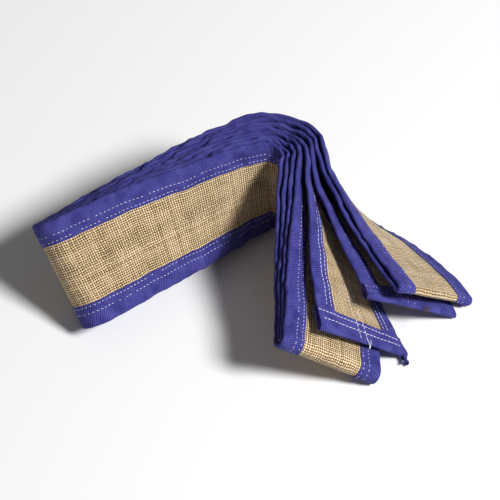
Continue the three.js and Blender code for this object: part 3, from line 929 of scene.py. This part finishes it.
@dataclass(frozen=True)
class Hem:
    """A twill hem folded over one end of the belt."""

    stretch: Stretch
    layer: int
    across_steps: int = 64
    arc_steps: int = 8
    drawn: float = 0.62  # how much thinner the hem is over the jute alone
    drawing_in: float = 7.0  # and how far from the bindings it gets there
    ripple: float = 0.072
    ripple_length: float = 13.0

    @property
    def leaf(self) -> Leaf:
        """The leaf that ends in this hem."""
        return LEAVES[self.layer]

    def sections(self, inset: Array) -> Path:
        """The belt's cross-sections at distances in from its end, with the front face turned out."""
        return FOLDING.leaf(self.layer, self.leaf.length - inset).facing(1)

    def thickness(self, down: Array) -> Array:
        """Half of the hem's thickness: it draws in between the two bindings."""
        over_jute = np.clip((CLOTH.lip + 2 - np.abs(down)) / self.drawing_in, 0, 1)
        return CLOTH.hem - self.drawn * over_jute * over_jute * (3 - 2 * over_jute)

    def profile(self) -> tuple[Array, Array, Array]:
        """Insets from the end, rises from 1 on one side to -1 on the other, and distances from the lip."""
        flat = np.array((0, 0.6, 1.5, 2.6, 3.6, 4.6, 6.5, 9.0, 10.1, 11.0, 11.9, 14.0, 16.5))
        turn = np.linspace(0, math.pi, self.arc_steps + 1)
        inset = np.concatenate([CLOTH.hem_depth - flat, CLOTH.hem * (1 - np.sin(turn)),
                                CLOTH.hem_depth - flat[::-1]])
        rise = np.concatenate([np.ones(len(flat)), np.cos(turn), -np.ones(len(flat))])
        return inset, rise, CLOTH.hem_depth - inset

    def surface(self, down: Array, inset: Array, height: Array) -> Array:
        """Points at distances down and in, one row for each distance down, at signed heights."""
        path = self.sections(inset)
        stray = DRAPE.stray(path, down).T
        reach = down[:, None] + DRAPE.slipped(path)[None, :]
        points = (path.mid[None] + path.across[None] * reach[..., None]
                  + path.out[None] * (height + stray)[..., None])
        return pressed(points + SHIFT)

    def height(self, down: Array, from_lip: Array, rise: Array, wall: float) -> Array:
        """Signed heights of the outer surface (wall 0) or the inner one."""
        dimple = SEWING.dimples(from_lip, SEWING.hem_rows)[None, :]
        turn = 2 * math.pi * down[:, None] / self.ripple_length + from_lip[None, :] / 5 + self.layer
        free = np.clip((CLOTH.hem_depth - from_lip) / 4, 0.1, 1)[None, :]
        swell = (SECTION.plump + self.ripple * np.sin(turn) - dimple) * free
        return rise[None, :] * (self.thickness(down)[:, None] + swell - wall)

    def skin(self) -> Skin:
        """The hem's cloth."""
        down = np.linspace(-CLOTH.half - 0.3, CLOTH.half + 0.3, self.across_steps + 1)
        inset, rise, from_lip = self.profile()
        outer = self.surface(down, inset, self.height(down, from_lip, rise, 0.0))
        tucked = np.maximum(inset, CLOTH.wall + (CLOTH.hem - CLOTH.wall) * (1 - np.sqrt(1 - rise ** 2)))
        inner_inset = np.where(inset < CLOTH.hem, tucked, inset)
        inner = self.surface(down, inner_inset, self.height(down, from_lip, rise, CLOTH.wall))
        run = SECTION.unrolled(inset, rise * CLOTH.hem)
        uv = np.stack(np.broadcast_arrays(down[:, None], run[None, :]), -1)
        return Skin(outer, inner, uv)

    def sew(self, stitches: Stitches) -> None:
        """Sews the hem's own two rows and the ends of the belt's two centre rows, on both sides."""
        for side in (1, -1):
            for row in SEWING.hem_rows:
                down = np.arange(-CLOTH.half + 2.5, CLOTH.half - 1.5, SEWING.hem_pitch)
                self.sew_line(stitches, down, np.full(len(down), row), side, SEWING.hem_stitch)
            from_lip = np.arange(1.5, CLOTH.hem_depth - 3.5, SEWING.pitch)
            for sign in (-1, 1):
                down = np.full(len(from_lip), sign * SEWING.centre_row)
                self.sew_line(stitches, down, from_lip, side, SEWING.stitch)

    def curl(self) -> Skin:
        """The cut end of the lower binding, which sticks out past the hem's corner and has rolled up."""
        run, turn = np.linspace(0, 10, 14), np.linspace(-2.4, 2.2, 15)
        path = self.sections(1.5 - run)
        sag = np.interp(run, (0, 4, 10), (0.0, 1.0, 1.6))
        middle = path.mid + path.across * (CLOTH.half - 2.4 - 0.1 * run)[:, None] + SHIFT - UP * sag[:, None]
        middle[:, 2] = np.maximum(middle[:, 2], 3.0)
        radius = (2.5 + 0.5 * np.sin(run * 0.9))[:, None, None]
        twist = turn[None, :] + 0.12 * run[:, None]
        ring = path.across[:, None] * np.cos(twist)[..., None] + path.out[:, None] * np.sin(twist)[..., None]
        uv = np.stack(np.broadcast_arrays(run[:, None], 2.0 * turn[None, :]), -1)
        centre = middle[:, None]
        return Skin(pressed(centre + ring * radius), pressed(centre + ring * (radius - CLOTH.wall)), uv)

    def leave_tails(self, stitches: Stitches, loose: LooseEnds) -> None:
        """Leaves loose ends of yarn or thread hanging over the hem's end."""
        for k in range(loose.count):
            start = loose.down + loose.spread * (k - (loose.count - 1) / 2)
            run = np.linspace(0, loose.length * (1 - 0.13 * k), 16)
            sway = loose.sway * np.sin(run / loose.length * 2.6 + 1.9 * k) + 0.06 * run * (-1) ** k
            path = self.sections(loose.inset - run)
            height = loose.side * (CLOTH.hem + 0.5 - np.maximum(run - loose.inset, 0) * loose.droop)
            line = path.mid + path.across * (start + sway)[:, None] + path.out * height[:, None]
            line = pressed(line + SHIFT)
            normals = path.out * loose.side
            stitches.lay(line, unit(np.gradient(line, axis=0)), normals, loose.length / 10, loose.look)

    def sew_line(self, stitches: Stitches, down: Array, from_lip: Array, side: int, length: float) -> None:
        """Sews one straight row through points of the hem."""
        centres, normals = [], []
        for d, f in zip(down, from_lip):
            place = np.array([d]), np.array([f])
            height = self.height(place[0], place[1], np.array([float(side)]), 0.0)
            centres.append(self.surface(place[0], CLOTH.hem_depth - place[1], height)[0, 0])
            normals.append(self.sections(CLOTH.hem_depth - place[1]).out[0] * side)
        line = np.array(centres)
        stitches.lay(line, unit(np.gradient(line, axis=0)), np.array(normals), length, LOOKS[self.stretch])


# ---- Finishes ----


def linear(colour: str) -> tuple[float, float, float, float]:
    """An sRGB hex colour as linear red, green, blue and alpha."""
    channels = [int(colour.lstrip("#")[k:k + 2], 16) / 255 for k in (0, 2, 4)]
    straight = [c / 12.92 if c <= 0.04045 else ((c + 0.055) / 1.055) ** 2.4 for c in channels]
    return (*straight, 1.0)


class Nodes:
    """A material's node tree, with one function that adds a node."""

    def __init__(self, name: str) -> None:
        """Starts a material with a Principled shader."""
        self.material = bpy.data.materials.new(name)
        self.material.use_nodes = True
        self.tree = self.material.node_tree
        self.shader = self.tree.nodes["Principled BSDF"]

    def surface(self, settings: dict[str, object]) -> None:
        """Sets the shader's own inputs."""
        for name, value in settings.items():
            self.shader.inputs[name].default_value = value

    def add(self, kind: str, inputs: dict[int | str, object] | None = None,
            **settings: object) -> bpy.types.Node:
        """Adds a node.

        Args:
            kind: the node's type name.
            inputs: for each input, a value or the output socket that is linked to it.
            settings: the node's own settings.

        Returns:
            The node.
        """
        node = self.tree.nodes.new(kind)
        for key, value in settings.items():
            setattr(node, key, value)
        for key, value in (inputs or {}).items():
            if isinstance(value, bpy.types.NodeSocket):
                self.tree.links.new(value, node.inputs[key])
            else:
                node.inputs[key].default_value = value
        return node

    def maths(self, operation: str, *values: object) -> bpy.types.NodeSocket:
        """The result of a Math node."""
        inputs = dict(enumerate(values))
        return self.add("ShaderNodeMath", inputs, operation=operation).outputs[0]

    def vector(self, operation: str, inputs: dict[int | str, object]) -> bpy.types.NodeSocket:
        """The result of a Vector Math node."""
        return self.add("ShaderNodeVectorMath", inputs, operation=operation).outputs[0]

    def blend(self, share: object, first: object, second: object, mode: str = "MIX") -> bpy.types.NodeSocket:
        """A mix of two colours."""
        inputs = {0: share, 6: first, 7: second}
        return self.add("ShaderNodeMix", inputs, data_type="RGBA", blend_type=mode).outputs[2]

    def noise(self, vector: object, scale: float, detail: float = 2.0) -> bpy.types.NodeSocket:
        """The strength of a noise texture."""
        inputs = {"Vector": vector, "Scale": scale, "Detail": detail}
        return self.add("ShaderNodeTexNoise", inputs).outputs[0]

    def finish(self, colour: object, height: object, relief: float) -> bpy.types.Material:
        """Links a colour and a relief in metres to the shader."""
        self.tree.links.new(colour, self.shader.inputs["Base Color"])
        bump = self.add("ShaderNodeBump", {"Height": height, "Distance": relief, "Strength": 1.0})
        self.tree.links.new(bump.outputs[0], self.shader.inputs["Normal"])
        return self.material


@dataclass(frozen=True)
class Hessian:
    """Natural jute hessian, plain weave: coarse round threads with open holes between them."""

    thread_spacing: float = 2.2 * MM
    # The ramp's colours, by the weave's height: light is a painted highlight on the threads' crowns, shade
    # is painted shade on their flanks, the hole colour is painted shade in the holes between threads; body
    # is the jute's own tan.
    light: str = "#F2DBB6"
    body: str = "#B8986A"
    shade: str = "#5E4A28"
    hole_shade: str = "#2C210F"
    relief: float = 0.7 * MM
    wander: float = 2.2 * MM  # how far a thread strays from straight, for a full swing of the noise

    def material(self) -> bpy.types.Material:
        """Weave from the cloth coordinates: each thread passes over and under by turns."""
        n = Nodes("natural_jute_hessian_plain_weave")
        n.surface({"Roughness": 0.92, "Specular IOR Level": 0.2, "Sheen Weight": 0.25,
                   "Sheen Roughness": 0.5})
        uv = n.add("ShaderNodeUVMap", uv_map="cloth").outputs[0]
        wander = n.add("ShaderNodeTexNoise", {"Vector": uv, "Scale": 110.0, "Detail": 2.0}).outputs[1]
        centred = n.vector("SUBTRACT", {0: wander, 1: (0.5, 0.5, 0.5)})
        bent = n.vector("ADD", {0: uv, 1: n.vector("SCALE", {0: centred, "Scale": self.wander})})
        split = n.add("ShaderNodeSeparateXYZ", {0: bent})
        cells = [n.maths("DIVIDE", split.outputs[k], self.thread_spacing) for k in (0, 1)]
        waves = [n.maths("SINE", n.maths("MULTIPLY", c, math.pi)) for c in cells]
        signs = [n.maths("SIGN", w) for w in waves]
        round_ = [n.maths("POWER", n.maths("ABSOLUTE", w), 0.75) for w in waves]
        over = n.maths("MULTIPLY", signs[0], waves[1])
        under = n.maths("MULTIPLY", n.maths("MULTIPLY", signs[1], waves[0]), -1.0)
        rise = [n.maths("MULTIPLY", round_[0], n.maths("MULTIPLY_ADD", over, 0.42, 0.58)),
                n.maths("MULTIPLY", round_[1], n.maths("MULTIPLY_ADD", under, 0.42, 0.58))]
        height = n.maths("MAXIMUM", rise[0], rise[1])
        tones = [self.thread_tone(n, c) for c in cells]
        on_top = n.maths("GREATER_THAN", rise[0], rise[1])
        tone = n.maths("ADD", n.maths("MULTIPLY", tones[0], on_top),
                       n.maths("MULTIPLY", tones[1], n.maths("SUBTRACT", 1.0, on_top)))
        patches = n.noise(uv, 60.0, 3.0)
        fibres = n.noise(bent, 900.0, 2.0)
        # The colour follows the weave's height, so it paints the weave's shade and highlight; thread tone,
        # patches and fibres add the jute's own uneven colour.
        level = n.maths("ADD", height, n.maths("MULTIPLY_ADD", tone, 0.2, -0.1))
        level = n.maths("ADD", level, n.maths("MULTIPLY_ADD", patches, 0.3, -0.15))
        level = n.maths("ADD", level, n.maths("MULTIPLY_ADD", fibres, 0.5, -0.25))
        ramp = n.add("ShaderNodeValToRGB", {0: level})
        self.fill(ramp.color_ramp)
        relief = n.maths("ADD", height, n.maths("MULTIPLY", fibres, 0.25))
        return n.finish(ramp.outputs[0], relief, self.relief)

    def thread_tone(self, n: Nodes, cell: bpy.types.NodeSocket) -> bpy.types.NodeSocket:
        """A tone from 0 to 1 that stays the same along each thread."""
        whole = n.maths("FLOOR", cell)
        return n.add("ShaderNodeTexWhiteNoise", {"W": whole}, noise_dimensions="1D").outputs[0]

    def fill(self, ramp: bpy.types.ColorRamp) -> None:
        """Colours from the holes between threads up to the threads' crowns: painted shade in the holes and
        on the threads' flanks, a painted highlight on the crowns.
        """
        ramp.elements[0].position, ramp.elements[0].color = 0.26, linear(self.hole_shade)
        ramp.elements[1].position, ramp.elements[1].color = 0.95, linear(self.light)
        for position, colour in ((0.46, self.shade), (0.66, self.body)):
            ramp.elements.new(position).color = linear(colour)


@dataclass(frozen=True)
class Twill:
    """Blue cotton twill: dyed, soft-finished cotton whose fine ribs run slantwise across the tape."""

    rib: float = 1.75 * MM  # a real rib is about 0.8 mm, too fine to show at this size
    slant: float = 68.0
    light: str = "#5A589F"
    body: str = "#383785"
    shade: str = "#131048"
    relief: float = 0.26 * MM

    def material(self) -> bpy.types.Material:
        """Slanted ribs over soft mottling, with a faint pale sheen."""
        n = Nodes("blue_cotton_twill_tape")
        n.surface({"Roughness": 0.82, "Specular IOR Level": 0.25, "Sheen Weight": 0.08,
                   "Sheen Roughness": 0.45, "Sheen Tint": linear("#A9A8E6")})
        uv = n.add("ShaderNodeUVMap", uv_map="cloth").outputs[0]
        split = n.add("ShaderNodeSeparateXYZ", {0: uv})
        slant = math.radians(self.slant)
        shares = (math.sin(slant) / self.rib, math.cos(slant) / self.rib)
        along = n.maths("MULTIPLY", split.outputs[0], shares[0])
        phase = n.maths("MULTIPLY_ADD", split.outputs[1], shares[1], along)
        drift = n.maths("MULTIPLY_ADD", n.noise(uv, 220.0, 2.0), 0.9, phase)
        rib = n.maths("SINE", n.maths("MULTIPLY", drift, 2 * math.pi))
        patches = n.noise(uv, 75.0, 3.0)
        grain = n.noise(uv, 900.0, 2.0)
        level = n.maths("MULTIPLY_ADD", rib, 0.2, 0.5)
        level = n.maths("ADD", level, n.maths("MULTIPLY_ADD", patches, 0.8, -0.4))
        level = n.maths("ADD", level, n.maths("MULTIPLY_ADD", grain, 0.5, -0.25))
        ramp = n.add("ShaderNodeValToRGB", {0: level})
        ramp.color_ramp.elements[0].position, ramp.color_ramp.elements[0].color = 0.15, linear(self.shade)
        ramp.color_ramp.elements[1].position, ramp.color_ramp.elements[1].color = 0.9, linear(self.light)
        ramp.color_ramp.elements.new(0.5).color = linear(self.body)
        relief = n.maths("ADD", n.maths("MULTIPLY", rib, 0.5), n.maths("MULTIPLY", grain, 0.7))
        return n.finish(ramp.outputs[0], relief, self.relief)


@dataclass(frozen=True)
class Thread:
    """White polyester sewing thread: smooth, faintly shiny, two strands twisted together."""

    light: str = "#F6F5FF"
    shade: str = "#CFCDE6"

    def material(self) -> bpy.types.Material:
        """Near white, a little greyer from stitch to stitch."""
        n = Nodes("white_polyester_thread")
        n.surface({"Roughness": 0.5, "Sheen Weight": 0.2})
        place = n.add("ShaderNodeTexCoord").outputs["Object"]
        soft = n.noise(place, 250.0, 1.0)
        strands = n.noise(place, 2600.0, 1.0)
        colour = n.blend(soft, linear(self.shade), linear(self.light))
        return n.finish(colour, strands, 0.08 * MM)


@dataclass(frozen=True)
class ShadedFibre:
    """Loose jute fibre at a cut end, seen thread by thread. Its dark browns are painted shade: the fibres
    lie in shadow under the outer loop, and are coloured far darker than the jute cloth.
    """

    # Both browns hold painted shade: they are far darker than jute.
    light: str = "#6E5A34"
    shade: str = "#3B2F1B"

    def material(self) -> bpy.types.Material:
        """Brown in painted shade, uneven along each fibre."""
        n = Nodes("loose_jute_fibre")
        n.surface({"Roughness": 0.9})
        place = n.add("ShaderNodeTexCoord").outputs["Object"]
        streaks = n.noise(place, 1200.0, 2.0)
        colour = n.blend(streaks, linear(self.shade), linear(self.light))
        return n.finish(colour, streaks, 0.05 * MM)


# ---- The belt ----


class Belt:
    """Builds every piece of the belt and dresses it; the stack's pieces hang on their body of the frame."""

    SEAM_MARGIN = 1.5  # the fold zone's ends stay this far inside the seams
    PLY_MARGINS = 3.0  # a ply is this much narrower than the belt
    ROW_MARGIN = 1.5  # rows along the strip stop this far from a hem

    def __init__(self) -> None:
        """Makes the finishes and the paths."""
        self.finishes = {
            Slot.JUTE: Hessian().material(),
            Slot.TWILL: Twill().material(),
            Slot.THREAD: Thread().material(),
        }
        # The loose fibres' finish is jute darkened with painted shade.
        self.fibre = ShadedFibre().material()
        self.paths = strip_paths()
        self.hems = {
            Stretch.FIRST_END: Hem(Stretch.FIRST_END, 5),
            Stretch.SECOND_END: Hem(Stretch.SECOND_END, 6),
        }

    def place(self, mesh: bpy.types.Mesh, stretch: Stretch, slot: Slot,
              finish: bpy.types.Material | None = None) -> bpy.types.Object:
        """Puts a mesh into the scene, dressed in its slot's finish or its own; a piece of the stack hangs on
        the stack's body, a moving stretch's piece has its placement baked in.
        """
        piece = bpy.data.objects.new(mesh.name, mesh)
        bpy.context.scene.collection.objects.link(piece)
        mesh.materials.append(finish or self.finishes[slot])
        if stretch in MOVING:
            self.bend_with(piece, stretch)
        else:
            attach(piece, stretch.body)
        LOG.info("%s: %d faces", piece.name, len(mesh.polygons))
        return piece

    def bend_with(self, piece: bpy.types.Object, stretch: Stretch) -> None:
        """Works out the ends of a moving stretch's fold zone and bakes the piece's placement into its mesh.
        """
        looped = stretch is Stretch.OUTER_LOOP
        hinge = FOLDING.loop_hinge if looped else FOLDING.end_hinge
        zone = (FOLDING.loop_zone if looped else FOLDING.end_zone) - self.SEAM_MARGIN
        ends = (FOLDING.leaf(MOVING[stretch], np.array([hinge - zone, hinge + zone])).mid + SHIFT) * MM
        stretch.body
        tuple(ends[0])
        tuple(ends[1])
        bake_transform(piece)

    def build_stretch(self, stretch: Stretch) -> None:
        """Builds the plies, bindings and thread of one stretch."""
        path, name = self.paths[stretch], stretch.value
        for ply in Ply:
            node = f"{ply.name.lower()}_ply_{name}"
            mesh = SECTION.ply(path, ply).mesh(f"jute_{ply.name.lower()}_{name}")
            piece = self.place(mesh, stretch, Slot.JUTE)
            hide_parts(node)
        stitches = Stitches(seed=100 + list(Stretch).index(stretch))
        for row in rows_along():
            look = LOOKS[stretch]
            if not row.on_binding and look is WORN:
                look = BURIED
            sew_row(stitches, self.sewn_part(stretch, path, row), row, look)
        thread = self.place(stitches.mesh(f"thread_rows_{name}"), stretch, Slot.THREAD)
        for edge in Edge:
            node = f"{edge.name.lower()}_binding_{name}"
            mesh = SECTION.binding(path, edge).mesh(f"twill_{edge.name.lower()}_{name}")
            piece = self.place(mesh, stretch, Slot.TWILL)
            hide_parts(node)

    def sewn_part(self, stretch: Stretch, path: Path, row: Row) -> Path:
        """The part of a stretch where a row shows: it stops where a hem covers it."""
        if stretch not in self.hems:
            return path
        covered = CLOTH.hem_depth + self.ROW_MARGIN
        if stretch is Stretch.FIRST_END:
            first = int(np.searchsorted(path.arc, path.arc[0] - HEM_SEAT + covered))
            kept = slice(first, None)
        else:
            last = int(np.searchsorted(path.arc, path.arc[-1] + HEM_SEAT - covered))
            kept = slice(0, last)
        return replace(path.part(kept), arc=path.arc[kept])

    def build_hem(self, stretch: Stretch) -> None:
        """Builds the hem of a free end and its thread."""
        hem = self.hems[stretch]
        piece = self.place(hem.skin().mesh(f"twill_hem_{stretch.value}"), stretch, Slot.TWILL)
        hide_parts(f"end_hem_{stretch.value}")
        stitches = Stitches(seed=200 + hem.layer)
        hem.sew(stitches)
        if stretch is Stretch.FIRST_END:
            hem.leave_tails(stitches, THREAD_TAILS)
            self.place(hem.curl().mesh("twill_rolled_end"), stretch, Slot.TWILL)
        thread = self.place(stitches.mesh(f"thread_hem_{stretch.value}"), stretch, Slot.THREAD)
        if stretch is Stretch.SECOND_END:
            # The frayed yarn wears the fibre finish of painted shade.
            frayed = Stitches(seed=300)
            hem.leave_tails(frayed, FRAYED_YARN)
            self.place(frayed.mesh("frayed_yarn"), stretch, Slot.JUTE, self.fibre)

    def build(self) -> None:
        """Builds the whole belt."""
        for stretch in Stretch:
            self.build_stretch(stretch)
        for stretch in self.hems:
            self.build_hem(stretch)


# ---- The studio ----


@dataclass(frozen=True)
class Studio:
    """Floor, light and camera."""

    azimuth: float = -5.906
    elevation: float = 48.39
    roll: float = 4.44
    distance: float = 2.5
    target: tuple[float, float, float] = (-0.0037, 0.0087, 0.040)
    lens: float = 196.056
    sensor: float = 36.0
    clip_end: float = 20.0
    floor_half: float = 4.0
    key_towards: tuple[float, float, float] = (0.78, -0.42, 0.95)
    key_distance: float = 4.0
    key_size: float = 1.0
    key_power: float = 205.0
    world_light: float = 0.13

    def floor(self) -> None:
        """A plain pale floor."""
        half = self.floor_half
        mesh = bpy.data.meshes.new("floor")
        corners = [(-half, -half, 0), (half, -half, 0), (half, half, 0), (-half, half, 0)]
        mesh.from_pydata(corners, [], [(0, 1, 2, 3)])
        floor = bpy.data.objects.new("floor", mesh)
        bpy.context.scene.collection.objects.link(floor)
        nodes = Nodes("pale_studio_floor")
        nodes.surface({"Base Color": linear("#F7F7F7"), "Roughness": 0.9, "Specular IOR Level": 0.1})
        mesh.materials.append(nodes.material)

    def lights(self) -> None:
        """One key light from the upper right and an even pale surround."""
        data = bpy.data.lights.new("key", "AREA")
        data.size = self.key_size
        data.energy = self.key_power
        key = bpy.data.objects.new("key", data)
        direction = Vector(self.key_towards).normalized()
        key.location = Vector(self.target) + direction * self.key_distance
        key.rotation_mode = "QUATERNION"
        key.rotation_quaternion = direction.to_track_quat("Z", "Y")
        bpy.context.scene.collection.objects.link(key)
        world = bpy.data.worlds.new("studio")
        world.use_nodes = True
        background = world.node_tree.nodes["Background"]
        background.inputs[0].default_value = linear("#FFFFFF")
        background.inputs[1].default_value = self.world_light
        bpy.context.scene.world = world

    def camera(self) -> None:
        """A long lens from above and in front, without shift."""
        data = bpy.data.cameras.new("camera")
        data.sensor_width = self.sensor
        data.lens = self.lens
        data.clip_end = self.clip_end
        camera = bpy.data.objects.new("camera", data)
        a, e = math.radians(self.azimuth), math.radians(self.elevation)
        back = Vector((math.sin(a) * math.cos(e), -math.cos(a) * math.cos(e), math.sin(e)))
        turn = (-back).to_track_quat("-Z", "Y").to_matrix().to_4x4()
        rolled = turn @ Matrix.Rotation(math.radians(self.roll), 4, "Z")
        camera.matrix_world = Matrix.Translation(Vector(self.target) + back * self.distance) @ rolled
        bpy.context.scene.collection.objects.link(camera)
        bpy.context.scene.camera = camera

    def build(self) -> None:
        """Builds the studio."""
        self.floor()
        self.lights()
        self.camera()
        bpy.context.scene.view_settings.view_transform = "Standard"


def main() -> None:
    """Builds the studio and the belt."""
    logging.basicConfig(level=logging.INFO, format="%(name)s: %(message)s")
    Studio().build()
    Belt().build()


if __name__ == "__main__":
    main()
